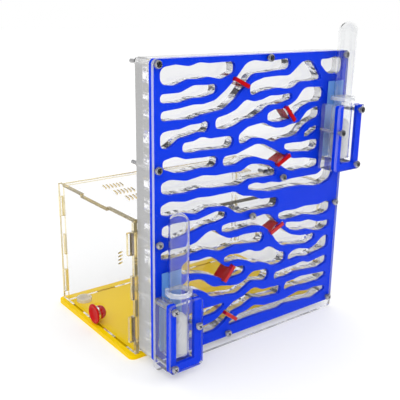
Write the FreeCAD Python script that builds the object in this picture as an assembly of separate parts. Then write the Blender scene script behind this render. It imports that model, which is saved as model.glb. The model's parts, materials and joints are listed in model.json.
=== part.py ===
import FreeCAD
import Part
import math
import os

# Ant habitat: an upright nest of stacked acrylic sheets with a foraging box behind it.
# Millimetres, +Z up, +Y away from the viewer. The nest's face looks along -Y.
# The origin is on the ground, under the middle of the whole habitat.

V = FreeCAD.Vector

# Sheets of the nest, listed from the viewer's side to the box's side
nest_width = 200.0
nest_height = 240.0
cover_thickness = 3.0
gallery_plate_thickness = 3.0
gallery_block_thickness = 8.0
back_plate_thickness = 10.0
sheet_foot = 6.0
sheet_corner_radius = 4.0

# Galleries: drawn on a sheet of this size, heights counted from a datum line above the ground
drawn_width = 200.0
drawn_height = 240.0
gallery_datum = 8.0
bend_radius = 12.0
port_diameter = 8.0

# Gates
gate_length = 15.5
gate_thickness = 3.0
gate_proud = 1.0
gate_travel = 0.020
running_gap = 0.3

# Screws, nuts and spacers
screw_diameter = 3.0
screw_hole_diameter = 3.4
head_diameter = 6.0
head_height = 2.2
nut_across_flats = 5.5
nut_height = 2.4
nest_screw_length = 35.0
dock_screw_length = 55.0

# Water docks
dock_width = 30.0
dock_height = 56.0
dock_layer_thickness = 5.0
dock_layer_count = 3
dock_frame_thickness = 3.0
dock_window_thickness = 3.0
dock_slot_width = 17.0
dock_floor_height = 10.0
dock_frame_bar = 6.0
dock_screw_rise = 4.0
dock_screw_drop = 4.5
left_dock_height = 7.0
right_dock_height = 140.5
wick_hole_diameter = 6.0

# Water tubes
tube_diameter = 16.0
tube_wall = 1.0
tube_length = 113.0
cotton_length = 33.5
cotton_gap = 0.15
collar_diameter = 21.0
collar_thickness = 3.0
collar_height = 59.5
backing_thickness = 1.0
backing_width = 18.0
backing_height = 64.5

# Foraging box
wall_thickness = 3.0
box_depth = 122.0
box_standoff = 4.0
wall_ear = 6.0
wall_height = 111.2
base_thickness = 4.0
base_margin = 4.5
base_back_margin = 2.0
lid_thickness = 3.0
lid_overhang = 2.0
lid_tab_length = 45.0
vent_length = 10.0
vent_width = 1.2
vent_pitch = 3.5
vent_count = 6
vent_rows = 4
vent_row_pitch = 20.0
vent_row_setback = 33.0
vent_inset = 25.5
wall_vent_length = 4.5
wall_vent_width = 0.8
wall_vent_pitch = 3.0
wall_vent_count = 4
wall_vent_setback = 23.0
wall_vent_drop = 30.0
tab_proud = 3.0
tab_gap = 0.1
port_height = 27.3
port_offset = 50.0
sleeve_diameter = 10.0
plug_diameter = 12.0
plug_flange = 18.0
plug_flange_thickness = 2.5
plug_reach = 7.0
plug_height = 9.5
plug_setback = 67.0
dish_diameter = 14.0
dish_height = 3.5

# Sizes that follow
nest_depth = cover_thickness + gallery_plate_thickness + gallery_block_thickness + back_plate_thickness
dock_post = (dock_width - dock_slot_width) / 2
dock_edge = 0.57 * dock_post
dock_depth = dock_layer_count * dock_layer_thickness + dock_frame_thickness
box_front = nest_depth + box_standoff
box_back = box_front + box_depth
side_front = nest_depth + running_gap
side_back = box_back + wall_ear
base_back = side_back + base_back_margin
front_reach = dock_depth + dock_window_thickness
shift_x = -nest_width / 2
shift_y = (front_reach + head_height - base_back) / 2
floor_level = base_thickness
box_top = floor_level + wall_height
lid_top = box_top + running_gap + lid_thickness
tube_centre_y = -(dock_depth + backing_thickness) / 2

# Each gallery is a row of stations (x from the nest's left edge, floor, roof)
galleries = {
    "top_left": [(7, 214, 225.5), (20, 212.5, 227.3), (32, 216.5, 225.5), (41, 216, 228),
                 (50, 217.3, 227), (63, 214.5, 227.3), (75, 219, 227.5)],
    "second_left": [(7, 201, 207.3), (24, 200.2, 207.4), (36, 202.6, 212), (47, 202.6, 211.5),
                    (58, 205, 212)],
    "long_diagonal": [(7.5, 188, 195), (24, 187.8, 196.3), (36, 187.3, 198), (45, 189.7, 197.6),
                      (56, 191, 199.7), (66, 192, 206.5), (76, 198.5, 215), (86, 209, 226),
                      (94, 217.5, 227.5), (106, 217.5, 226), (118, 218.5, 226.8), (133, 219, 228)],
    "fourth_left": [(7, 168.5, 180), (15, 167.3, 181), (24, 174, 181.2), (33, 175.3, 183.4),
                    (42, 177.2, 183.6), (51.5, 175.6, 186)],
    "middle_rise": [(57, 178, 186), (68, 176.5, 188), (77, 178.3, 191), (87, 182.5, 198.5),
                    (95, 182.6, 195.6), (104, 186.5, 196.8), (112, 191.6, 199.2),
                    (122, 191.5, 198.8), (136.5, 194.5, 200)],
    "fifth_left": [(26.5, 163.5, 170.5), (37, 162, 171), (44, 162.8, 173.6), (52, 162.3, 171.2),
                   (75.5, 161.3, 171.3)],
    "wave_right": [(80.5, 163, 171), (89, 163.5, 176.3), (96, 167, 177.2), (106, 165.5, 178.4),
                   (119, 160.3, 172.5), (128, 163, 172), (137, 162.7, 174), (146, 164, 174.3),
                   (154, 171.5, 183), (163, 175, 186), (171, 177, 186.3)],
    "gate_two_run": [(110, 179.5, 185), (117, 177.5, 187.8), (126, 177, 187.5), (134, 178.3, 190),
                     (141, 180.8, 193), (150, 187, 203.3), (160, 190.3, 203), (174, 190.3, 202.3)],
    "top_hall": [(90.5, 202, 209), (95, 200.3, 211.3), (105, 203.2, 213.8), (120, 204.8, 214.3),
                 (132, 203.2, 213.8), (139, 203.5, 219), (146, 208.3, 224.3), (156.5, 208, 226),
                 (163, 208.3, 219), (169, 209, 212)],
    "top_right": [(168, 221, 225.5), (177, 213, 225.5), (185, 212.6, 227.3), (194.5, 214, 225.5)],
    "sixth_left": [(9, 153.5, 159.5), (20, 148.8, 161.5), (29, 148, 158.2), (45, 149.2, 157.5),
                   (60.3, 147.8, 157.3)],
    "gate_three_run": [(65, 147.5, 155.5), (79, 147.2, 156), (89, 151, 159), (99, 151.3, 161.7),
                       (108, 148, 160.5), (117, 145.5, 156), (126, 141, 151.5), (134, 136, 147),
                       (142, 132.7, 144.2), (155, 133.7, 143.2), (165, 132.3, 141.2),
                       (173.5, 134, 139.5)],
    "right_leaf": [(130.5, 154, 158), (140, 149.8, 158), (150, 149.2, 157.4), (162, 147.6, 158.3),
                   (172, 149.5, 157.5)],
    "small_pocket": [(153, 161.2, 165), (160, 161, 168.8), (166, 164, 170), (170, 166, 169.5)],
    "seventh_left": [(7.5, 135.5, 142.5), (15, 132.8, 144.8), (30, 132, 141.5), (46, 133.3, 143.6),
                     (58, 131.4, 141.6), (72, 130.7, 141.7), (84, 129.4, 141.3), (93, 133.2, 146),
                     (105, 132.9, 144.5), (116, 132.3, 141.5), (123, 132.2, 136.5)],
    "eighth_left": [(7, 118.5, 125.5), (15, 116.3, 128), (29, 116.4, 125.4), (41, 113, 126.6),
                    (53, 116.4, 125.6), (70, 114.5, 125.6), (79, 108, 125.6), (86, 105, 120.5),
                    (98, 106, 118.4), (106, 105.3, 114.4), (127, 104, 113)],
    "wick_hall": [(92, 125, 128.5), (100, 122.5, 129.6), (108, 121, 127.3), (117, 119, 127.6),
                  (127, 118.8, 125.5), (140, 119.3, 126.8), (155, 118.5, 126.6),
                  (172, 115.4, 126.2), (178, 115.8, 129), (182, 116, 151), (193, 120.5, 151)],
    "ninth_left": [(8, 102.5, 109), (17, 97.5, 110.3), (32, 98.8, 109.6), (41, 100.5, 108.8),
                   (50, 102.6, 110.6), (60, 102.6, 112.4), (70.5, 104.8, 110)],
    "tenth_left": [(7, 83.5, 88.5), (14, 81.8, 90.3), (33, 81.2, 89), (41, 81.3, 90.8),
                   (50, 82.3, 96.3), (58, 79.5, 97.8), (65, 77, 91), (73, 78, 86.8),
                   (81, 79.3, 86.4), (90, 78, 87), (100, 76.5, 86.2), (112, 75, 85)],
    "gate_four_run": [(65.5, 94, 99), (73, 91.4, 100), (90, 91.7, 99), (100, 92.3, 99.4),
                      (110, 90, 100.4), (118, 84.5, 99), (126, 74, 91.5), (134, 66.5, 82.5),
                      (144, 65.7, 75.5), (155, 63.5, 72.2), (166, 61.8, 71.2), (175, 65, 71)],
    "right_one": [(127.5, 94, 98), (135, 90.2, 99), (146, 90, 98), (160, 90.8, 99),
                  (178, 86.7, 97.4), (186, 86.8, 99.2), (193.5, 89, 97.5)],
    "right_two": [(137, 84.5, 88), (144, 79.5, 87.2), (155, 76.5, 85), (165, 76.3, 85.4),
                  (176, 72.3, 81.2), (185, 71, 80.2), (193.5, 74, 80.5)],
    "gate_five_run": [(26.5, 67, 74), (33, 64.8, 76.2), (43, 63, 75), (54, 59.5, 76),
                      (62, 55.5, 70.5), (70, 51, 63), (79, 50.8, 60.5), (92, 51.5, 59)],
    "long_dip": [(27, 52.5, 58), (36, 51, 59.2), (44, 48.5, 58.5), (50, 45.5, 55), (57, 38.5, 48),
                 (66, 37.3, 47), (76, 36, 44.5), (85, 34.3, 43.2), (93, 38.5, 46),
                 (100, 42.2, 51.2), (107, 40.8, 50.6), (119.5, 37.5, 49.5)],
    "low_middle": [(68.5, 67, 71), (75, 65, 72.6), (85, 65.3, 71), (96, 61.5, 72.2),
                   (102, 57.6, 69), (109, 57.5, 67.8), (117, 54.5, 70.5), (124, 50.4, 67.5),
                   (131, 50.2, 62.3), (139, 51.5, 60.5)],
    "right_three": [(142, 50.8, 56), (147, 50.8, 59.5), (156, 51.6, 59.8), (168, 49.3, 56.7),
                    (176, 51, 58.5), (185, 51.7, 65.3), (193.5, 53, 66)],
    "right_four": [(126, 36, 43.5), (136, 36.3, 44.3), (144, 36, 44.7), (152, 38, 44.8),
                   (160, 37, 46.4), (169, 36.2, 43.3), (183, 34.7, 45), (193.5, 37.5, 46)],
    "right_five": [(139.3, 22, 30.7), (150, 23, 30.8), (160, 22.4, 31.9), (170, 21.5, 30.8),
                   (185, 21, 29.4), (193.5, 24, 28.5)],
    "gate_six_run": [(34, 8, 16), (50, 7.6, 15.8), (61, 7.4, 17.6), (70, 12, 22.8), (79, 19, 28.3),
                     (91, 20.8, 31), (103, 26, 36.6), (112, 23, 31.3), (135, 21, 30)],
    "bottom_run": [(75.5, 7.5, 11), (87, 7.7, 15.5), (95, 8, 16), (103, 8.2, 19.2), (116, 8, 15.2),
                   (133, 7, 14.6), (141, 9.2, 14.8), (158, 7.2, 17.6), (168, 6.6, 15.5),
                   (178, 4.7, 16.4), (193.5, 9.5, 14)],
    "low_left": [(34, 23.5, 31), (50, 23, 31.3), (61, 23.3, 30.8), (70, 27.5, 31)],
    "water_chamber": [(8, 7, 21), (26, 7, 21)],
}

# Gates: middle of the gate (x, height above the datum) and its slant in degrees
gates = {
    "gate_1": (80.0, 211.3, -26.0),
    "gate_2": (133.2, 183.0, -49.0),
    "gate_3": (128.0, 145.0, 26.0),
    "gate_4": (124.0, 86.0, 24.0),
    "gate_5": (72.3, 56.8, 50.0),
    "gate_6": (75.5, 17.6, -38.0),
}

# Nest screws as drawn (x, height above the datum): the upper ones end behind the nest
upper_screws = [(3.6, 228.3), (108.3, 228.8), (196.4, 228.3), (3.6, 153.6), (128.5, 130.1)]

# The lower screws also carry the foraging box: one row hangs from the top of the box's
# front wall (x as drawn, distance below the wall's top), the other stands on its foot
wall_top_screws = [(4.2, 10.7), (95.7, 5.0), (196.4, 10.4)]
foot_screws = [(73.3, 10.1), (196.4, 10.0)]


def across(x):
    """Place along the nest's width of a drawn x."""
    return x * nest_width / drawn_width


def up(height):
    """Height above the ground of a drawn height above the datum."""
    return (height + gallery_datum) * nest_height / drawn_height


upper_places = [(across(x), up(z)) for x, z in upper_screws]
lower_places = [(across(x), box_top - drop) for x, drop in wall_top_screws]
lower_places += [(across(x), rise) for x, rise in foot_screws]


def place(shape):
    """Moves a shape from the nest's corner to the habitat's own origin."""
    moved = shape.copy()
    moved.translate(V(shift_x, shift_y, 0))
    return moved


def save(name, *solids):
    """Writes one sub-part, as one solid or as a group of separate solids."""
    clean = [place(s.removeSplitter()) for s in solids]
    shape = clean[0] if len(clean) == 1 else Part.makeCompound(clean)
    if shape.ShapeType == "Compound" and len(shape.Solids) == 1:
        shape = shape.Solids[0]
    shape.exportStep("parts/" + name + ".step")
    return shape


def rounded_outline(points, radius):
    """Closed wire of straight runs whose corners are rounded by tangent arcs."""
    count = len(points)
    trims = []
    for i, corner in enumerate(points):
        to_last = points[i - 1] - corner
        to_next = points[(i + 1) % count] - corner
        turn = math.pi - to_last.getAngle(to_next)
        reach = 0.48 * min(to_last.Length, to_next.Length)
        size = radius[i] if isinstance(radius, list) else radius
        bends = turn > math.radians(3)
        trim = min(size * math.tan(turn / 2), reach) if bends else 0.0
        to_last.normalize()
        to_next.normalize()
        trims.append((corner + to_last * trim, corner, corner + to_next * trim, bends, turn))
    edges = []
    for i, (start, corner, end, bends, turn) in enumerate(trims):
        if bends:
            bisector = ((start - corner) + (end - corner)) * 0.5
            half = bisector.Length
            trim = (start - corner).Length
            size = trim / math.tan(turn / 2)
            rise = math.hypot(size, trim) - size
            middle = corner + bisector * (rise / half)
            edges.append(Part.Arc(start, middle, end).toShape())
        following = trims[(i + 1) % count][0]
        if (following - end).Length > 1e-6:
            edges.append(Part.LineSegment(end, following).toShape())
    return Part.Wire(edges)


def slab(points, radius, axis, depth):
    """Rounded outline pushed into a plate."""
    return Part.Face(rounded_outline(points, radius)).extrude(axis * depth)


def upright_sheet(x0, x1, y0, thickness, z0, z1, radius):
    """Rectangular sheet standing parallel to the nest's face."""
    points = [V(x0, y0, z0), V(x1, y0, z0), V(x1, y0, z1), V(x0, y0, z1)]
    return slab(points, radius, V(0, 1, 0), thickness)


def hole_y(x, z, diameter, y0, length):
    """Round hole or pin along Y."""
    return Part.makeCylinder(diameter / 2, length, V(x, y0, z), V(0, 1, 0))


def gallery_cut(stations, y0, depth):
    """One gallery as a cutting solid: roof line, floor line and round ends."""
    roof = [V(across(x), y0, up(high)) for x, low, high in stations]
    floor = [V(across(x), y0, up(low)) for x, low, high in reversed(stations)]
    ends = {0: stations[0], len(stations) - 1: stations[-1]}
    sizes = [bend_radius] * len(stations)
    for index, (x, low, high) in ends.items():
        sizes[index] = 0.47 * (high - low)
    return slab(roof + floor, sizes + sizes[::-1], V(0, 1, 0), depth)


def gate_box(name, length, thickness, y0, depth):
    """Upright blade at a gate's place and slant."""
    x, height, slant = gates[name]
    blade = Part.makeBox(length, depth, thickness, V(-length / 2, y0, -thickness / 2))
    blade.rotate(V(0, 0, 0), V(0, 1, 0), -slant)
    blade.translate(V(across(x), 0, up(height)))
    return blade


def dock_screws(left, base):
    """Places of a dock's three screws."""
    outer = dock_edge if left else nest_width - dock_edge
    inner = dock_width - dock_edge if left else nest_width - dock_width + dock_edge
    return [(outer, base + dock_screw_rise), (inner, base + 0.6 * dock_height),
            (outer, base + dock_height - dock_screw_drop)]


docks = {
    "left": dict(x0=0.0, base=left_dock_height, screws=dock_screws(True, left_dock_height)),
    "right": dict(x0=nest_width - dock_width, base=right_dock_height,
                  screws=dock_screws(False, right_dock_height)),
}

sheet_y = {
    "cover": (0.0, cover_thickness),
    "gallery_plate": (cover_thickness, gallery_plate_thickness),
    "gallery_block": (cover_thickness + gallery_plate_thickness, gallery_block_thickness),
    "back_plate": (nest_depth - back_plate_thickness, back_plate_thickness),
}

nest_screw_places = upper_places + lower_places
dock_screw_places = docks["left"]["screws"] + docks["right"]["screws"]
port_place = (across(port_offset), up(port_height))


def port_hole(y0, thickness):
    """Cutting pin for the passage sleeve's outside."""
    return hole_y(port_place[0], port_place[1], sleeve_diameter + tab_gap, y0 - 1, thickness + 2)


def nest_sheet(name):
    """One nest sheet with its screw holes, gate slots, galleries and ports."""
    y0, thickness = sheet_y[name]
    foot = 0.0 if name == "cover" else sheet_foot
    sheet = upright_sheet(0, nest_width, y0, thickness, foot, nest_height,
                          sheet_corner_radius)
    tools = []
    for x, z in nest_screw_places + dock_screw_places:
        tools.append(hole_y(x, z, screw_hole_diameter, y0 - 1, thickness + 2))
    if name in ("gallery_plate", "gallery_block"):
        for stations in galleries.values():
            tools.append(gallery_cut(stations, y0 - 1, thickness + 2))
    if name != "back_plate":
        for gate in gates:
            tools.append(gate_box(gate, gate_length + 2 * running_gap,
                                  gate_thickness + 2 * running_gap, y0 - 1, thickness + 2))
    if name == "cover":
        for dock in docks.values():
            tools.append(hole_y(dock["x0"] + dock_width / 2, dock["base"] + dock_floor_height + 4,
                                wick_hole_diameter, y0 - 1, thickness + 2))
    if name == "back_plate":
        tools.append(port_hole(y0, thickness))
    return sheet.cut(tools)


def dock_outline(dock, y0, thickness, floor, slot_width, corner):
    """U-shaped dock layer: two posts joined by a floor."""
    x0 = dock["x0"]
    z0 = dock["base"]
    sheet = upright_sheet(x0, x0 + dock_width, y0, thickness, z0, z0 + dock_height, corner)
    slot = Part.makeBox(slot_width, thickness + 2, dock_height,
                        V(x0 + (dock_width - slot_width) / 2, y0 - 1, z0 + floor))
    holes = [hole_y(x, z, screw_hole_diameter, y0 - 1, thickness + 2) for x, z in dock["screws"]]
    return sheet.cut([slot] + holes)


def build_dock(side):
    """Clear layers, blue frame, window and backing strip of one water dock."""
    dock = docks[side]
    x0, z0 = dock["x0"], dock["base"]
    for number in range(dock_layer_count):
        y0 = -(number + 1) * dock_layer_thickness
        layer = dock_outline(dock, y0, dock_layer_thickness, dock_floor_height, dock_slot_width, 1.0)
        if number == 0:
            recess = Part.makeBox(backing_width + 2 * tab_gap, backing_thickness + tab_gap,
                                  dock_height, V(x0 + (dock_width - backing_width) / 2 - tab_gap,
                                                 -backing_thickness - tab_gap,
                                                 z0 + dock_floor_height))
            layer = layer.cut(recess)
        save("%s_dock_layer_%d" % (side, number + 1), layer)
    frame = dock_outline(dock, -dock_depth, dock_frame_thickness, dock_frame_bar,
                         dock_slot_width, 2.5)
    save(side + "_dock_frame", frame)
    window = upright_sheet(x0, x0 + dock_width, -front_reach, dock_window_thickness, z0,
                           z0 + dock_height, 2.5)
    holes = [hole_y(x, z, screw_hole_diameter, -front_reach - 1, dock_window_thickness + 2)
             for x, z in dock["screws"]]
    save(side + "_dock_window", window.cut(holes))
    strip = upright_sheet(x0 + (dock_width - backing_width) / 2,
                          x0 + (dock_width + backing_width) / 2, -backing_thickness,
                          backing_thickness, z0 + dock_floor_height,
                          z0 + dock_floor_height + backing_height, 0.5)
    wick = hole_y(x0 + dock_width / 2, z0 + dock_floor_height + 4, wick_hole_diameter,
                  -backing_thickness - 1, backing_thickness + 2)
    save(side + "_tube_backing", strip.cut(wick))


def build_tube(side):
    """Water tube standing mouth down, its collar and the cotton in its mouth."""
    dock = docks[side]
    x = dock["x0"] + dock_width / 2
    z = dock["base"] + dock_floor_height + running_gap
    outer = tube_diameter / 2
    inner = outer - tube_wall
    top = tube_length - outer
    profile = Part.Wire([
        Part.LineSegment(V(inner, 0, 0), V(outer, 0, 0)).toShape(),
        Part.LineSegment(V(outer, 0, 0), V(outer, 0, top)).toShape(),
        Part.Arc(V(outer, 0, top), V(outer * math.sqrt(0.5), 0, top + outer * math.sqrt(0.5)),
                 V(0, 0, top + outer)).toShape(),
        Part.LineSegment(V(0, 0, top + outer), V(0, 0, top + inner)).toShape(),
        Part.Arc(V(0, 0, top + inner), V(inner * math.sqrt(0.5), 0, top + inner * math.sqrt(0.5)),
                 V(inner, 0, top)).toShape(),
        Part.LineSegment(V(inner, 0, top), V(inner, 0, 0)).toShape(),
    ])
    tube = Part.Face(profile).revolve(V(0, 0, 0), V(0, 0, 1), 360)
    tube.translate(V(x, tube_centre_y, z))
    save(side + "_water_tube", tube)
    soft = inner - cotton_gap
    stem = cotton_length - soft
    outline = Part.Wire([
        Part.LineSegment(V(0, 0, 0), V(soft, 0, 0)).toShape(),
        Part.LineSegment(V(soft, 0, 0), V(soft, 0, stem)).toShape(),
        Part.Arc(V(soft, 0, stem), V(soft * math.sqrt(0.5), 0, stem + soft * math.sqrt(0.5)),
                 V(0, 0, stem + soft)).toShape(),
        Part.LineSegment(V(0, 0, stem + soft), V(0, 0, 0)).toShape(),
    ])
    cotton = Part.Face(outline).revolve(V(0, 0, 0), V(0, 0, 1), 360)
    cotton.translate(V(x, tube_centre_y, z))
    save(side + "_cotton_plug", cotton)
    base = dock["base"] + collar_height
    ring = Part.makeCylinder(collar_diameter / 2, collar_thickness, V(x, tube_centre_y, base))
    bore = Part.makeCylinder(outer + 0.05, collar_thickness + 2, V(x, tube_centre_y, base - 1))
    flat = Part.makeBox(collar_diameter + 2, collar_diameter, collar_thickness + 2,
                        V(x - collar_diameter / 2 - 1, -backing_thickness - running_gap, base - 1))
    save(side + "_tube_collar", ring.cut([bore, flat]))


def pan_screw(x, z, seat, length):
    """Cross-head pan screw along Y with its head on the viewer's side."""
    shank = Part.makeCylinder(screw_diameter / 2, length, V(0, 0, 0), V(0, 1, 0))
    tip = Part.makeCone(screw_diameter / 2, screw_diameter / 2 - 0.5, 0.5, V(0, length, 0),
                        V(0, 1, 0))
    radius = head_diameter / 2
    profile = Part.makePolygon([V(0, 0, 0), V(radius, 0, 0), V(radius, -head_height * 0.5, 0),
                                V(radius * 0.88, -head_height * 0.82, 0),
                                V(radius * 0.6, -head_height, 0), V(0, -head_height, 0),
                                V(0, 0, 0)])
    head = Part.Face(profile).revolve(V(0, 0, 0), V(0, 1, 0), 360)
    arm = radius * 0.62
    slots = []
    for turn in (45, 135):
        slot = Part.makeBox(2 * arm, 1.3, 0.8, V(-arm, -head_height - 0.1, -0.4))
        slot.rotate(V(0, 0, 0), V(0, 1, 0), turn)
        slots.append(slot)
    screw = head.fuse([shank, tip]).cut(slots)
    screw.translate(V(x, seat, z))
    return screw


def hexagon(x, z, seat, height):
    """Hexagon nut or spacer round a screw."""
    radius = nut_across_flats / math.sqrt(3)
    corners = [V(x + radius * math.cos(math.radians(60 * i)), seat,
                 z + radius * math.sin(math.radians(60 * i))) for i in range(6)]
    body = Part.Face(Part.makePolygon(corners + corners[:1])).extrude(V(0, height, 0))
    return body.cut(hole_y(x, z, screw_diameter + 0.04, seat - 1, height + 2))


def build_fasteners():
    """Screws, spacers and nuts that clamp the sheets, the docks and the box."""
    save("nest_screws", *[pan_screw(x, z, 0, nest_screw_length) for x, z in nest_screw_places])
    for side in docks:
        save(side + "_dock_screws", *[pan_screw(x, z, -front_reach, dock_screw_length)
                                      for x, z in docks[side]["screws"]])
    seats = upper_places + docks["right"]["screws"]
    save("nest_nuts", *[hexagon(x, z, nest_depth, nut_height) for x, z in seats])
    carried = lower_places + docks["left"]["screws"]
    save("box_spacers", *[hexagon(x, z, nest_depth, box_standoff) for x, z in carried])
    save("box_nuts", *[hexagon(x, z, box_front + wall_thickness, nut_height) for x, z in carried])


def tab_rows(low, high, rows):
    """Heights of the tab centres along an upright edge."""
    return [low + (high - low) * share for share in rows]


side_tabs = [(0.189, 22.0, tab_proud), (0.513, 20.0, 0.0), (0.847, 18.5, tab_proud)]
foot_tabs = [0.2, 0.49, 0.78]
foot_tab_length = 20.0


def cross_wall(y0):
    """Wall between the two sides, with tabs through them and into the base."""
    left = 0.0
    right = nest_width
    wall = Part.makeBox(right - left, wall_thickness, wall_height, V(left, y0, floor_level))
    tabs = []
    for share, length, proud in side_tabs:
        middle = floor_level + share * wall_height
        reach = wall_thickness + proud
        tabs.append(Part.makeBox(nest_width + 2 * reach, wall_thickness, length,
                                 V(left - reach, y0, middle - length / 2)))
    for share in foot_tabs:
        middle = nest_width * share
        tabs.append(Part.makeBox(foot_tab_length, wall_thickness, base_thickness,
                                 V(middle - foot_tab_length / 2, y0, 0)))
    return wall.fuse(tabs)


def side_wall(x0):
    """Side wall of the box with slots for the cross walls and a notch for the lid."""
    points = [V(x0, side_front, floor_level), V(x0, side_back, floor_level),
              V(x0, side_back, lid_top), V(x0, side_front, lid_top)]
    wall = slab(points, 1.5, V(1, 0, 0), wall_thickness)
    tools = []
    for y0 in (box_front, box_back - wall_thickness):
        for share, length, proud in side_tabs:
            middle = floor_level + share * wall_height
            tools.append(Part.makeBox(wall_thickness + 2, wall_thickness + 2 * tab_gap,
                                      length + 2 * tab_gap,
                                      V(x0 - 1, y0 - tab_gap, middle - length / 2 - tab_gap)))
    middle = (box_front + box_back) / 2
    tools.append(Part.makeBox(wall_thickness + 2, lid_tab_length + 2 * running_gap,
                              lid_thickness + 1,
                              V(x0 - 1, middle - lid_tab_length / 2 - running_gap, box_top)))
    wall = wall.cut(tools)
    feet = []
    for share in foot_tabs:
        centre = side_front + (side_back - side_front) * share
        feet.append(Part.makeBox(wall_thickness, foot_tab_length, base_thickness,
                                 V(x0, centre - foot_tab_length / 2, 0)))
    return wall.fuse(feet)


def vent_row(x, y, z, depth):
    """Row of short slanted slots through a horizontal sheet."""
    slots = []
    for i in range(vent_count):
        slot = Part.makeBox(vent_width, vent_length, depth, V(-vent_width / 2, -vent_length / 2, 0))
        slot.rotate(V(0, 0, 0), V(0, 0, 1), -12)
        slot.translate(V(x + i * vent_pitch, y, z))
        slots.append(slot)
    return slots


def wall_vents(x0):
    """Short slanted slots, one above the other, high in the left wall."""
    slots = []
    for i in range(wall_vent_count):
        slot = Part.makeBox(wall_thickness + 2, wall_vent_length, wall_vent_width,
                            V(-1, -wall_vent_length / 2, -wall_vent_width / 2))
        slot.rotate(V(0, 0, 0), V(1, 0, 0), -35)
        slot.translate(V(x0, side_front + wall_vent_setback,
                         box_top - wall_vent_drop - i * wall_vent_pitch))
        slots.append(slot)
    return slots


def build_box():
    """Base, four walls, lid, passage sleeve, plug and dish of the foraging box."""
    left_x = -wall_thickness
    base = slab([V(left_x - base_margin, side_front, 0),
                 V(nest_width - left_x + base_margin, side_front, 0),
                 V(nest_width - left_x + base_margin, base_back, 0),
                 V(left_x - base_margin, base_back, 0)], 5.0, V(0, 0, 1), base_thickness)
    front = cross_wall(box_front)
    back = cross_wall(box_back - wall_thickness)
    left = side_wall(left_x)
    right = side_wall(nest_width)
    slots = []
    for share in foot_tabs:
        centre = side_front + (side_back - side_front) * share
        for x0 in (left_x, nest_width):
            slots.append(Part.makeBox(wall_thickness + 2 * tab_gap, foot_tab_length + 2 * tab_gap,
                                      base_thickness + 2,
                                      V(x0 - tab_gap, centre - foot_tab_length / 2 - tab_gap,
                                        -1)))
        for y0 in (box_front, box_back - wall_thickness):
            slots.append(Part.makeBox(foot_tab_length + 2 * tab_gap, wall_thickness + 2 * tab_gap,
                                      base_thickness + 2,
                                      V(nest_width * share - foot_tab_length / 2 - tab_gap,
                                        y0 - tab_gap, -1)))
    save("box_base", base.cut(slots))
    front = front.cut([hole_y(x, z, screw_hole_diameter, box_front - 1, wall_thickness + 2)
                       for x, z in lower_places + docks["left"]["screws"]]
                      + [port_hole(box_front, wall_thickness)])
    save("box_front_wall", front)
    save("box_back_wall", back)
    plug_y = side_front + plug_setback
    plug_z = floor_level + plug_height
    bore = Part.makeCylinder(plug_diameter / 2 + running_gap, wall_thickness + 2,
                             V(left_x - 1, plug_y, plug_z), V(1, 0, 0))
    save("box_left_wall", left.cut([bore] + wall_vents(left_x)))
    save("box_right_wall", right)
    flange_x = left_x - running_gap - plug_flange_thickness
    plug = Part.makeCylinder(plug_flange / 2, plug_flange_thickness, V(flange_x, plug_y, plug_z),
                             V(1, 0, 0))
    stem_length = plug_reach - flange_x - 2.5
    stem = Part.makeCylinder(plug_diameter / 2, stem_length, V(flange_x, plug_y, plug_z),
                             V(1, 0, 0))
    nose = Part.makeCone(plug_diameter / 2, plug_diameter / 2 - 2.5, 2.5,
                         V(plug_reach - 2.5, plug_y, plug_z), V(1, 0, 0))
    save("port_plug", plug.fuse([stem, nose]))
    lid_front = box_front - lid_overhang
    lid_back = box_back + lid_overhang
    lid = slab([V(running_gap, lid_front, box_top), V(nest_width - running_gap, lid_front, box_top),
                V(nest_width - running_gap, lid_back, box_top), V(running_gap, lid_back, box_top)],
               1.0, V(0, 0, 1), lid_thickness)
    middle = (box_front + box_back) / 2
    tab = Part.makeBox(nest_width + 2 * wall_thickness, lid_tab_length, lid_thickness,
                       V(left_x, middle - lid_tab_length / 2, box_top))
    lid = lid.fuse(tab)
    vents = []
    for row in range(vent_rows):
        for start in (vent_inset, nest_width - vent_inset - (vent_count - 1) * vent_pitch):
            vents += vent_row(start, box_front + vent_row_setback + vent_row_pitch * row,
                              box_top - 1, lid_thickness + 2)
    lid = lid.cut(vents)
    lid.translate(V(0, 0, running_gap))
    save("box_lid", lid)
    sleeve = hole_y(port_place[0], port_place[1], sleeve_diameter,
                    nest_depth - back_plate_thickness, back_plate_thickness + box_standoff
                    + wall_thickness)
    save("passage_sleeve", sleeve.cut(hole_y(port_place[0], port_place[1], port_diameter,
                                             0, 2 * nest_depth)))
    dish = Part.makeCylinder(dish_diameter / 2, dish_height,
                             V(11.0, box_back - 11.5, floor_level))
    hollow = Part.makeCylinder(dish_diameter / 2 - 1, dish_height,
                               V(11.0, box_back - 11.5, floor_level + 1))
    save("feeding_dish", dish.cut(hollow))


os.makedirs("parts", exist_ok=True)
for sheet_name in sheet_y:
    save("nest_" + sheet_name, nest_sheet(sheet_name))
for side_name in docks:
    build_dock(side_name)
    build_tube(side_name)
for gate_name in gates:
    save(gate_name, gate_box(gate_name, gate_length, gate_thickness, -gate_proud,
                             gate_proud + nest_depth - back_plate_thickness - running_gap))
build_fasteners()
build_box()
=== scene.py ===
import json

import bmesh
import bpy
import numpy as np
from mathutils import Matrix, Vector

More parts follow.
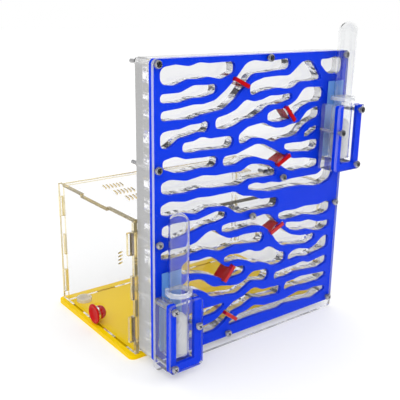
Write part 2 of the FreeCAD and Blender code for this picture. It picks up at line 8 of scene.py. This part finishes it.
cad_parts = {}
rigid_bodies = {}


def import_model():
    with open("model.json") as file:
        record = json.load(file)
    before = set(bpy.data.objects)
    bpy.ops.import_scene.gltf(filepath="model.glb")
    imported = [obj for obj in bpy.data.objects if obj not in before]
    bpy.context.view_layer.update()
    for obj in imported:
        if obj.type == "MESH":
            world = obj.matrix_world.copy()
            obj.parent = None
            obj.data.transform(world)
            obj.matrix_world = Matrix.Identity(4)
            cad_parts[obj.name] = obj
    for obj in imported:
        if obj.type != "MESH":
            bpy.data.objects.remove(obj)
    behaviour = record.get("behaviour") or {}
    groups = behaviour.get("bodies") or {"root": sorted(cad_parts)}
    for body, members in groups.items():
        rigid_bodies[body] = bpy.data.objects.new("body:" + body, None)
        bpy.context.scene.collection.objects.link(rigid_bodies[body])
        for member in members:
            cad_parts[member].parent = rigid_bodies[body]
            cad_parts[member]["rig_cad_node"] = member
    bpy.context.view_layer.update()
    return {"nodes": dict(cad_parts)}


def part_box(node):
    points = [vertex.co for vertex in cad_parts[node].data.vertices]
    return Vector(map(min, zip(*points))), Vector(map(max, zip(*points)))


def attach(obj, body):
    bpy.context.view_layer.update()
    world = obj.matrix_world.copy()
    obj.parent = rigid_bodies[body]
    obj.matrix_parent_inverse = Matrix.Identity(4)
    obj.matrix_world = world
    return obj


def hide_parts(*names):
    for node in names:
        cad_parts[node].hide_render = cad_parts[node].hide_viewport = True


# Looks of the ant habitat: a clear layered nest with a blue gallery plate, red gates,
# two water docks, and a clear foraging box on a yellow base behind it.
# Metres, +Z up. The nest's face looks along -Y.

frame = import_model()
nodes = frame["nodes"]
scene = bpy.context.scene

SIDES = ("left", "right")

# Small distances on the real pieces, in metres
HAIR = 0.00003
RIM_REACH = 0.0012
COTTON_GAP = 0.00005
# Size of the near-black cross painted as shade in each screw head's recess, and how far it sits
# behind the head's face
SHADE_CROSS_LONG = 0.0017
SHADE_CROSS_WIDE = 0.00036
SHADE_CROSS_SINK = 0.0003
HEAD_REACH = 0.006

# Half the width of the studio floor, in metres
FLOOR_HALF = 6.0

# A face is a cut edge when its normal has less than this share along the sheet's thin direction
CUT_FACE = 0.7


def material(name, color, roughness=0.3, metallic=0.0, transmission=0.0, ior=1.49,
             specular=0.5, subsurface=0.0):
    """Makes a material with one Principled shader and returns it with its shader."""
    made = bpy.data.materials.new(name)
    made.use_nodes = True
    shader = made.node_tree.nodes["Principled BSDF"]
    shader.inputs["Base Color"].default_value = (*color, 1.0)
    shader.inputs["Roughness"].default_value = roughness
    shader.inputs["Metallic"].default_value = metallic
    shader.inputs["Transmission Weight"].default_value = transmission
    shader.inputs["IOR"].default_value = ior
    shader.inputs["Specular IOR Level"].default_value = specular
    shader.inputs["Subsurface Weight"].default_value = subsurface
    return made, shader


def let_light_through(made, shader, tint):
    """Shadow rays pass the clear sheet with a slight tint, so light reaches what is behind it."""
    tree = made.node_tree
    path = tree.nodes.new("ShaderNodeLightPath")
    clear = tree.nodes.new("ShaderNodeBsdfTransparent")
    clear.inputs["Color"].default_value = (*tint, 1.0)
    mix = tree.nodes.new("ShaderNodeMixShader")
    tree.links.new(path.outputs["Is Shadow Ray"], mix.inputs[0])
    tree.links.new(shader.outputs["BSDF"], mix.inputs[1])
    tree.links.new(clear.outputs["BSDF"], mix.inputs[2])
    tree.links.new(mix.outputs["Shader"], tree.nodes["Material Output"].inputs["Surface"])


def new_group(name, inputs, outputs):
    """Starts a node group and returns it with its input and output nodes."""
    group = bpy.data.node_groups.new(name, "ShaderNodeTree")
    for socket, kind, value in inputs:
        made = group.interface.new_socket(name=socket, in_out="INPUT", socket_type=kind)
        made.default_value = value
    for socket, kind in outputs:
        group.interface.new_socket(name=socket, in_out="OUTPUT", socket_type=kind)
    return group, group.nodes.new("NodeGroupInput"), group.nodes.new("NodeGroupOutput")


def math_node(tree, operation, a, b=None):
    """Adds a Math node; a and b are sockets or numbers."""
    node = tree.nodes.new("ShaderNodeMath")
    node.operation = operation
    for socket, value in zip(node.inputs, (a, b)):
        if value is None:
            continue
        if isinstance(value, (int, float)):
            socket.default_value = value
        else:
            tree.links.new(value, socket)
    return node.outputs[0]


def laser_cut_group():
    """Height that waves along a cut wall and stays flat on the sheet's two faces."""
    group, given, out = new_group(
        "laser_cut_wall",
        [("Waves", "NodeSocketFloat", 300.0), ("Depth", "NodeSocketFloat", 1.0)],
        [("Height", "NodeSocketFloat")],
    )
    place = group.nodes.new("ShaderNodeTexCoord")
    stretch = group.nodes.new("ShaderNodeMapping")
    stretch.inputs["Scale"].default_value = (1.0, 0.35, 1.0)
    noise = group.nodes.new("ShaderNodeTexNoise")
    noise.inputs["Detail"].default_value = 2.0
    normal = group.nodes.new("ShaderNodeNewGeometry")
    split = group.nodes.new("ShaderNodeSeparateXYZ")
    group.links.new(place.outputs["Object"], stretch.inputs["Vector"])
    group.links.new(stretch.outputs["Vector"], noise.inputs["Vector"])
    group.links.new(given.outputs["Waves"], noise.inputs["Scale"])
    group.links.new(normal.outputs["True Normal"], split.inputs["Vector"])
    facing = math_node(group, "ABSOLUTE", split.outputs["Y"])
    wall = math_node(group, "LESS_THAN", facing, 0.5)
    deep = math_node(group, "MULTIPLY", wall, given.outputs["Depth"])
    height = math_node(group, "MULTIPLY", noise.outputs[0], deep)
    group.links.new(height, out.inputs["Height"])
    return group


def place_group(made, group, values):
    """Puts a node group into a material with its own values."""
    node = made.node_tree.nodes.new("ShaderNodeGroup")
    node.node_tree = group
    for socket, value in values.items():
        node.inputs[socket].default_value = value
    return node


def bump(made, shader, height, strength, distance):
    """Feeds a height into the shader's normal."""
    tree = made.node_tree
    node = tree.nodes.new("ShaderNodeBump")
    node.inputs["Strength"].default_value = strength
    node.inputs["Distance"].default_value = distance
    tree.links.new(height, node.inputs["Height"])
    tree.links.new(node.outputs["Normal"], shader.inputs["Normal"])


laser_cut = laser_cut_group()


def clear_sheet(name, color, clarity, roughness=0.0, waves=0.0, depth=1.0, ior=1.49):
    """Clear acrylic; clarity is the share of light that passes, the rest is its haze.

    An ior below acrylic's 1.49 keeps the white studio out of the reflections. It is chosen for
    the look and isn't the real material's.
    """
    made, shader = material(name, color, roughness, transmission=clarity, ior=ior)
    if waves:
        cut = place_group(made, laser_cut, {"Waves": waves, "Depth": depth})
        bump(made, shader, cut.outputs["Height"], 0.6, 0.0008)
    let_light_through(made, shader, (0.995, 0.995, 0.995))
    return made


def colored_sheet(name, color, roughness, specular):
    """Tinted acrylic, dense enough to hide what is behind it."""
    made, shader = material(name, color, roughness, specular=specular)
    cut = place_group(made, laser_cut, {"Waves": 500.0, "Depth": 0.5})
    bump(made, shader, cut.outputs["Height"], 0.25, 0.0002)
    return made


def steel_material(name, pitch):
    """Bright steel; rings along Y stand for a screw's thread."""
    made, shader = material(name, (0.46, 0.46, 0.47), 0.20, metallic=1.0)
    tree = made.node_tree
    if pitch:
        place = tree.nodes.new("ShaderNodeTexCoord")
        split = tree.nodes.new("ShaderNodeSeparateXYZ")
        tree.links.new(place.outputs["Object"], split.inputs["Vector"])
        turns = math_node(tree, "MULTIPLY", split.outputs["Y"], 2 * np.pi / pitch)
        rings = math_node(tree, "SINE", turns)
        bump(made, shader, rings, 0.8, 0.00012)
    return made


def cotton_material():
    """Soft white cotton wool with fine fibres."""
    made, shader = material("cotton_wool", (0.98, 0.98, 0.975), 0.95)
    shader.inputs["Sheen Weight"].default_value = 0.4
    tree = made.node_tree
    place = tree.nodes.new("ShaderNodeTexCoord")
    fibre = tree.nodes.new("ShaderNodeTexNoise")
    fibre.inputs["Scale"].default_value = 1400.0
    fibre.inputs["Detail"].default_value = 4.0
    tree.links.new(place.outputs["Object"], fibre.inputs["Vector"])
    bump(made, shader, fibre.outputs[0], 0.6, 0.0004)
    return made


LOOKS = {
    "cover_clear": clear_sheet("cover_clear_acrylic", (0.985, 0.99, 0.995), 1.0, ior=1.10),
    "cover_edge": clear_sheet("cover_cut_edge", (0.94, 0.96, 0.98), 0.60, 0.10, 300.0),
    "nest_clear": clear_sheet("nest_clear_acrylic", (0.82, 0.82, 0.83), 1.0, ior=1.45),
    "block_clear": clear_sheet("block_clear_acrylic", (0.96, 0.96, 0.97), 1.0, ior=1.30),
    "nest_edge": clear_sheet("nest_cut_wall", (0.90, 0.90, 0.91), 0.92, 0.0, 150.0, 5.0),
    "nest_rim": clear_sheet("nest_rim_acrylic", (1.0, 1.0, 1.0), 0.56, 0.03, 300.0, 1.2, ior=1.34),
    "dock_clear": clear_sheet("dock_clear_acrylic", (0.993, 0.996, 1.0), 1.0, ior=1.10),
    "dock_edge": clear_sheet("dock_cut_edge", (0.985, 0.99, 1.0), 0.92, 0.01, 300.0, 0.3, ior=1.20),
    "box_clear": clear_sheet("box_clear_acrylic", (0.955, 0.957, 0.96), 1.0, ior=1.12),
    # The warm yellow tint of the box's clear cut edges is painted reflection of the yellow base;
    # the box's clear faces stay neutral
    "box_edge_painted_reflection": clear_sheet("box_cut_edge_painted_reflection", (0.94, 0.77, 0.36), 0.72, 0.05, 400.0),
    "collar": clear_sheet("collar_acrylic", (0.97, 0.98, 1.0), 0.72, 0.06),
    "blue": colored_sheet("blue_acrylic", (0.003, 0.044, 0.80), 0.25, 0.05),
    "yellow": colored_sheet("yellow_acrylic", (1.0, 0.67, 0.002), 0.25, 0.05),
    "red": colored_sheet("red_acrylic", (0.50, 0.004, 0.006), 0.12, 0.4),
    "screw": steel_material("screw_steel", 0.0005),
    "nut": steel_material("nut_steel", 0.0),
    "cotton": cotton_material(),
}


def frosted_material():
    """Frosted strip that lightens the blue behind it."""
    made, shader = material("frosted_acrylic", (0.20, 0.50, 1.0), 0.30, transmission=0.45)
    let_light_through(made, shader, (0.85, 0.9, 0.97))
    return made


def tube_material():
    """Clear tube glass."""
    made, shader = material("tube_glass", (0.92, 0.925, 0.93), 0.0, transmission=1.0, ior=1.42)
    let_light_through(made, shader, (0.99, 0.99, 0.99))
    return made


def rubber_material():
    """Red silicone rubber with a satin skin."""
    made, shader = material("red_rubber", (0.58, 0.006, 0.006), 0.40, specular=0.15, subsurface=0.1)
    shader.inputs["Subsurface Radius"].default_value = (0.002, 0.0005, 0.0005)
    return made


def dish_material():
    """Pale translucent plastic of the feeding dish."""
    made, shader = material("dish_plastic", (0.93, 0.90, 0.80), 0.35, transmission=0.35)
    let_light_through(made, shader, (0.9, 0.88, 0.8))
    return made


LOOKS["frosted"] = frosted_material()
LOOKS["tube"] = tube_material()
LOOKS["rubber"] = rubber_material()
LOOKS["dish"] = dish_material()


def look_for(name):
    """The finish of each CAD piece, by its name."""
    if name == "nest_cover":
        return "cover_clear"
    if name == "nest_gallery_block":
        return "block_clear"
    if name in ("nest_back_plate", "passage_sleeve"):
        return "nest_clear"
    if name == "nest_gallery_plate" or name.endswith("dock_frame"):
        return "blue"
    if name.endswith("collar"):
        return "collar"
    if "dock_layer" in name or "dock_window" in name:
        return "dock_clear"
    if name == "box_base":
        return "yellow"
    if name.startswith("gate_"):
        return "red"
    if name.endswith("tube_backing"):
        return "frosted"
    if name.endswith("water_tube"):
        return "tube"
    if name.endswith("cotton_plug"):
        return "cotton"
    if name == "port_plug":
        return "rubber"
    if name == "feeding_dish":
        return "dish"
    if name.endswith("screws"):
        return "screw"
    if name.endswith("nuts") or name.endswith("spacers"):
        return "nut"
    return "box_clear"


def mark_cut_edges(node, look):
    """Faces that don't lie along the sheet's thin direction get the cut-edge finish.

    The nest's outer rim has its own finish, and the cover's gate slots stay clear.
    """
    low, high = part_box(node["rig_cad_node"])
    thin = int(np.argmin(high - low))
    normals = np.empty(len(node.data.polygons) * 3, np.float32)
    node.data.polygons.foreach_get("normal", normals)
    cut = (np.abs(normals.reshape(-1, 3)[:, thin]) < CUT_FACE).astype(np.int32)
    node.data.materials.append(LOOKS[look])
    centres = np.empty(len(cut) * 3, np.float32)
    node.data.polygons.foreach_get("center", centres)
    centres = centres.reshape(-1, 3)[:, [0, 2]]
    corner_low = np.array([low.x, low.z])
    corner_high = np.array([high.x, high.z])
    near = np.minimum(centres - corner_low, corner_high - centres)
    at_border = near.min(axis=1) < RIM_REACH
    if look == "nest_edge":
        cut[(cut == 1) & at_border] = 2
        node.data.materials.append(LOOKS["nest_rim"])
    if look == "cover_edge":
        cut[(cut == 1) & ~at_border] = 0
    node.data.polygons.foreach_set("material_index", cut)
    node.data.update()


EDGES = {"cover_clear": "cover_edge", "nest_clear": "nest_edge",
         "block_clear": "nest_edge", "dock_clear": "dock_edge",
         "box_clear": "box_edge_painted_reflection"}
for node_name, node in nodes.items():
    look = look_for(node_name)
    node.data.materials.clear()
    node.data.materials.append(LOOKS[look])
    if look in EDGES:
        mark_cut_edges(node, EDGES[look])

# Clear pieces that lie face to face are drawn in by a hair, so that light can tell them apart
for node_name, node in nodes.items():
    if look_for(node_name) in EDGES or look_for(node_name) in ("collar", "frosted"):
        weld = node.modifiers.new("join_corners", "WELD")
        weld.merge_threshold = 0.000002
        draw_in = node.modifiers.new("draw_in", "DISPLACE")
        draw_in.direction = "NORMAL"
        draw_in.mid_level = 0.0
        draw_in.strength = -HAIR


def lathe(name, profile, turns, centre, axis):
    """Surface of revolution: point(s, t) = centre + axis * height(s) + radius(s) * (cos t, sin t).

    profile is rows of (radius, height); its ends close on the axis when their radius is 0.
    """
    radius, height = np.asarray(profile, float).T
    angle = np.linspace(0, 2 * np.pi, turns, endpoint=False)
    axis = Vector(axis).normalized()
    side = axis.orthogonal().normalized()
    other = axis.cross(side)
    ring = np.outer(np.cos(angle), side) + np.outer(np.sin(angle), other)
    points = (np.asarray(centre) + height[:, None, None] * np.asarray(axis)
              + radius[:, None, None] * ring[None])
    rows, cols = len(radius), turns
    index = np.arange(rows * cols).reshape(rows, cols)
    after = np.roll(index, -1, axis=1)
    faces = np.stack([index[:-1], after[:-1], after[1:], index[1:]], -1).reshape(-1, 4)
    return grid_mesh(name, points.reshape(-1, 3), faces)


def grid_mesh(name, points, faces):
    """Mesh object from arrays, with doubled points merged and normals made to face out."""
    mesh = bpy.data.meshes.new(name)
    mesh.from_pydata(points.tolist(), [], faces.tolist())
    mesh.update()
    made = bpy.data.objects.new(name, mesh)
    scene.collection.objects.link(made)
    shape = bmesh.new()
    shape.from_mesh(mesh)
    bmesh.ops.remove_doubles(shape, verts=shape.verts, dist=1e-7)
    bmesh.ops.recalc_face_normals(shape, faces=shape.faces)
    shape.to_mesh(mesh)
    shape.free()
    mesh.shade_smooth()
    return made


def cotton_plug(side):
    """Cotton wool pushed into a tube's mouth.

    Radius at height h: the tube's inner radius for the stem, a dome on top, and a
    rounded mouth; waves of three sizes roughen it inwards.
    """
    low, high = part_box(side + "_cotton_plug")
    centre = ((low.x + high.x) / 2, (low.y + high.y) / 2, low.z)
    reach = (high.x - low.x) / 2 - COTTON_GAP
    length = high.z - low.z
    height = np.linspace(0, 1, 150)
    dome = np.clip((height - 0.80) / 0.20, 0, 1)
    mouth = np.clip((0.07 - height) / 0.07, 0, 1)
    radius = reach * np.sqrt(1 - dome ** 2) * np.sqrt(1 - 0.35 * mouth ** 2)
    radius[0] = 0.0
    radius[-1] = 0.0
    plug = lathe(side + "_cotton_wool", np.stack([radius, height * length], 1), 160,
                 centre, (0, 0, 1))
    count = len(plug.data.vertices)
    points = np.empty(count * 3, np.float32)
    plug.data.vertices.foreach_get("co", points)
    points = points.reshape(-1, 3)
    local = points - np.array(centre)
    turn = np.arctan2(local[:, 1], local[:, 0])
    rise = local[:, 2] / length
    rough = 0.5 + 0.5 * np.sin(5 * turn + 9 * rise + 1.3 * np.sin(14 * rise))
    rough = rough * (0.5 + 0.5 * np.sin(11 * turn - 31 * rise + 2 * np.sin(7 * rise)))
    fine = 0.5 + 0.5 * np.sin(29 * turn + 70 * rise) * np.sin(17 * turn - 90 * rise)
    squeeze = 1 - 0.07 * rough - 0.025 * fine
    local[:, :2] *= squeeze[:, None]
    points = local + np.array(centre)
    plug.data.vertices.foreach_set("co", points.astype(np.float32).ravel())
    plug.data.update()
    plug.data.materials.append(LOOKS["cotton"])
    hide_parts(side + "_cotton_plug")
    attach(plug, side + "_tube")
    return plug


for side_name in SIDES:
    cotton_plug(side_name)


def rubber_plug():
    """Rubber port plug: a cupped flange outside the wall, a neck and a rounded nose.

    The profile is a run of (radius, distance along X) carried round the plug's axis.
    """
    low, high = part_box("port_plug")
    centre = (0.0, (low.y + high.y) / 2, (low.z + high.z) / 2)
    flange = (high.y - low.y) / 2
    x0, x1 = low.x, high.x
    profile = [(0.0, x0 + 0.0021), (0.0030, x0 + 0.0021), (0.0048, x0 + 0.0018),
               (0.0062, x0 + 0.0006), (0.0074, x0), (flange - 0.0004, x0 + 0.0002),
               (flange, x0 + 0.0008), (flange - 0.0001, x0 + 0.0016),
               (flange - 0.0006, x0 + 0.0022), (0.0072, x0 + 0.0025), (0.0060, x0 + 0.0027),
               (0.0058, x0 + 0.0040), (0.0058, x0 + 0.0056), (0.0062, x0 + 0.0066),
               (0.0062, x0 + 0.0080), (0.0059, x1 - 0.0030), (0.0050, x1 - 0.0015),
               (0.0034, x1 - 0.0004), (0.0018, x1), (0.0, x1)]
    plug = lathe("port_plug_rubber", profile, 72, centre, (1, 0, 0))
    soft = plug.modifiers.new("soft_edges", "SUBSURF")
    soft.levels = 2
    soft.render_levels = 2
    plug.data.materials.append(LOOKS["rubber"])
    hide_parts("port_plug")
    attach(plug, "plug")
    return plug


rubber_plug()


def head_places(name):
    """Middle of each screw head's front face, from the vertices that lie at the lowest Y."""
    mesh = nodes[name].data
    spots = np.empty(len(mesh.vertices) * 3, np.float32)
    mesh.vertices.foreach_get("co", spots)
    spots = spots.reshape(-1, 3)
    front = spots[spots[:, 1] < spots[:, 1].min() + 0.00005]
    found = []
    while len(front):
        near = np.linalg.norm(front[:, [0, 2]] - front[0, [0, 2]], axis=1) < HEAD_REACH
        group = front[near]
        middle = (group.min(axis=0) + group.max(axis=0)) / 2
        found.append(tuple(float(v) for v in middle))
        front = front[~near]
    return found


def recess_painted_shade():
    """Dark depth of each screw head's cross recess.

    Two crossed near-black bars, turned 45 degrees, are painted shade for the recess's depth;
    they lie inside the cross that the solid head already has, a little behind its front face.
    The same small cross is repeated at each head's place.
    """
    bars = []
    for half_long, half_wide in ((SHADE_CROSS_LONG, SHADE_CROSS_WIDE), (SHADE_CROSS_WIDE, SHADE_CROSS_LONG)):
        bars.append([(-half_long, -half_wide), (half_long, -half_wide),
                     (half_long, half_wide), (-half_long, half_wide)])
    turn = np.array([[1, -1], [1, 1]]) / np.sqrt(2)
    cross = np.array(bars).reshape(-1, 2) @ turn.T
    points, faces = [], []
    for name in ("nest_screws", "left_dock_screws", "right_dock_screws"):
        for x, y, z in head_places(name):
            start = len(points)
            for u, v in cross:
                points.append((x + u, y + SHADE_CROSS_SINK, z + v))
            faces += [(start, start + 1, start + 2, start + 3),
                      (start + 4, start + 5, start + 6, start + 7)]
    mesh = bpy.data.meshes.new("recess_painted_shade")
    mesh.from_pydata(points, [], faces)
    mesh.update()
    made = bpy.data.objects.new("recess_painted_shade", mesh)
    scene.collection.objects.link(made)
    # Near-black colour painted as the shade in the depth of each cross recess
    look, _ = material("recess_shadow", (0.012, 0.012, 0.013), 0.7, specular=0.2)
    mesh.materials.append(look)
    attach(made, "nest")


recess_painted_shade()


def camera():
    """Camera at the photograph's viewing angle, solved from the nest's corners and edges."""
    yaw, pitch, roll = np.radians([37.349, 16.970, -0.81])
    ahead = Vector((np.sin(yaw) * np.cos(pitch), np.cos(yaw) * np.cos(pitch), -np.sin(pitch)))
    right = Vector((np.cos(yaw), -np.sin(yaw), 0.0))
    down = ahead.cross(right)
    across = np.cos(roll) * right + np.sin(roll) * down
    below = -np.sin(roll) * right + np.cos(roll) * down
    data = bpy.data.cameras.new("camera")
    data.sensor_width = 36.0
    data.lens = 57.83
    made = bpy.data.objects.new("camera", data)
    scene.collection.objects.link(made)
    turn = Matrix((across, -below, -ahead)).transposed()
    made.matrix_world = Matrix.Translation((-0.34219, -0.43883, 0.27599)) @ turn.to_4x4()
    scene.camera = made


camera()


def backdrop_rays(tree):
    """1 for rays that should see the white backdrop: camera, glossy and transmitted ones."""
    path = tree.nodes.new("ShaderNodeLightPath")
    seen = math_node(tree, "MAXIMUM", path.outputs["Is Camera Ray"], path.outputs["Is Glossy Ray"])
    return math_node(tree, "MAXIMUM", seen, path.outputs["Is Transmission Ray"])


def studio_world():
    """White backdrop for the eye, plain soft light for the surfaces."""
    world = bpy.data.worlds.new("studio")
    world.use_nodes = True
    scene.world = world
    tree = world.node_tree
    light = tree.nodes["Background"]
    light.inputs["Color"].default_value = (1.0, 1.0, 1.0, 1.0)
    light.inputs["Strength"].default_value = 0.80
    white = tree.nodes.new("ShaderNodeBackground")
    white.inputs["Color"].default_value = (1.0, 1.0, 1.0, 1.0)
    white.inputs["Strength"].default_value = 1.0
    mix = tree.nodes.new("ShaderNodeMixShader")
    tree.links.new(backdrop_rays(tree), mix.inputs[0])
    tree.links.new(light.outputs[0], mix.inputs[1])
    tree.links.new(white.outputs[0], mix.inputs[2])
    tree.links.new(mix.outputs[0], tree.nodes["World Output"].inputs["Surface"])


def floor():
    """Wide pale floor under the habitat, which runs into the white backdrop with distance."""
    size = FLOOR_HALF
    made = grid_mesh("studio_floor", np.array([(-size, -size, 0), (size, -size, 0),
                                               (size, size, 0), (-size, size, 0)], float),
                     np.array([(0, 1, 2, 3)]))
    look, shader = material("studio_floor", (0.84, 0.84, 0.84), 0.9)
    tree = look.node_tree
    place = tree.nodes.new("ShaderNodeTexCoord")
    reach = tree.nodes.new("ShaderNodeVectorMath")
    reach.operation = "LENGTH"
    fade = tree.nodes.new("ShaderNodeMapRange")
    fade.inputs["From Min"].default_value = 0.3
    fade.inputs["From Max"].default_value = 1.6
    fade.inputs["To Min"].default_value = 0.18
    fade.inputs["To Max"].default_value = 0.35
    glow = tree.nodes.new("ShaderNodeEmission")
    glow.inputs["Color"].default_value = (1.0, 1.0, 1.0, 1.0)
    tree.links.new(place.outputs["Object"], reach.inputs[0])
    tree.links.new(reach.outputs["Value"], fade.inputs["Value"])
    tree.links.new(fade.outputs["Result"], glow.inputs["Strength"])
    add = tree.nodes.new("ShaderNodeAddShader")
    mix = tree.nodes.new("ShaderNodeMixShader")
    tree.links.new(shader.outputs[0], add.inputs[0])
    tree.links.new(glow.outputs[0], add.inputs[1])
    tree.links.new(backdrop_rays(tree), mix.inputs[0])
    tree.links.new(shader.outputs[0], mix.inputs[1])
    tree.links.new(add.outputs[0], mix.inputs[2])
    tree.links.new(mix.outputs[0], tree.nodes["Material Output"].inputs["Surface"])
    made.data.materials.append(look)


def lamp(name, place, target, size, power):
    """Soft square lamp aimed at a point."""
    data = bpy.data.lights.new(name, "AREA")
    data.shape = "SQUARE"
    data.size = size
    data.energy = power
    made = bpy.data.objects.new(name, data)
    scene.collection.objects.link(made)
    made.location = place
    made.rotation_mode = "QUATERNION"
    made.rotation_quaternion = (Vector(target) - Vector(place)).to_track_quat("-Z", "Y")
    made.visible_camera = False
    made.visible_glossy = False
    made.visible_transmission = False


def dark_card(name, place, target, width, height, clear_too):
    """Dark board outside the picture for gloss to pick up; clear_too shows it through glass."""
    aim = (Vector(target) - Vector(place)).to_track_quat("-Z", "Y")
    corners = [(-width, -height, 0), (width, -height, 0), (width, height, 0), (-width, height, 0)]
    points = np.array([Vector(place) + aim @ (Vector(c) * 0.5) for c in corners])
    made = grid_mesh(name, points, np.array([(0, 1, 2, 3)]))
    look, _ = material(name, (0.03, 0.03, 0.033), 0.8)
    made.data.materials.append(look)
    made.visible_camera = False
    made.visible_diffuse = False
    made.visible_shadow = False
    made.visible_transmission = clear_too


studio_world()
floor()
MIDDLE = (0.0, 0.0, 0.12)
lamp("key", (-0.9, -1.0, 1.3), MIDDLE, 1.2, 10.5)
lamp("fill", (1.2, -0.8, 0.9), MIDDLE, 1.4, 5.0)
lamp("top", (0.1, 0.4, 1.6), MIDDLE, 1.2, 4.0)
dark_card("front_board", (0.34, -0.40, 0.30), (0.34, 0.0, 0.30), 0.9, 0.60, False)
dark_card("left_board", (-0.75, 0.35, 0.42), (-0.1, 0.0, 0.42), 0.6, 0.84, False)
dark_card("rear_board", (0.0, 0.9, 0.75), MIDDLE, 1.8, 0.30, True)
dark_card("streak_card", (0.1, -1.8, 0.35), MIDDLE, 0.25, 1.2, True)
dark_card("side_card", (-1.6, -0.1, 0.5), MIDDLE, 0.35, 1.2, True)

scene.cycles.max_bounces = 24
scene.cycles.transmission_bounces = 24
scene.cycles.transparent_max_bounces = 32
scene.view_settings.view_transform = "Standard"
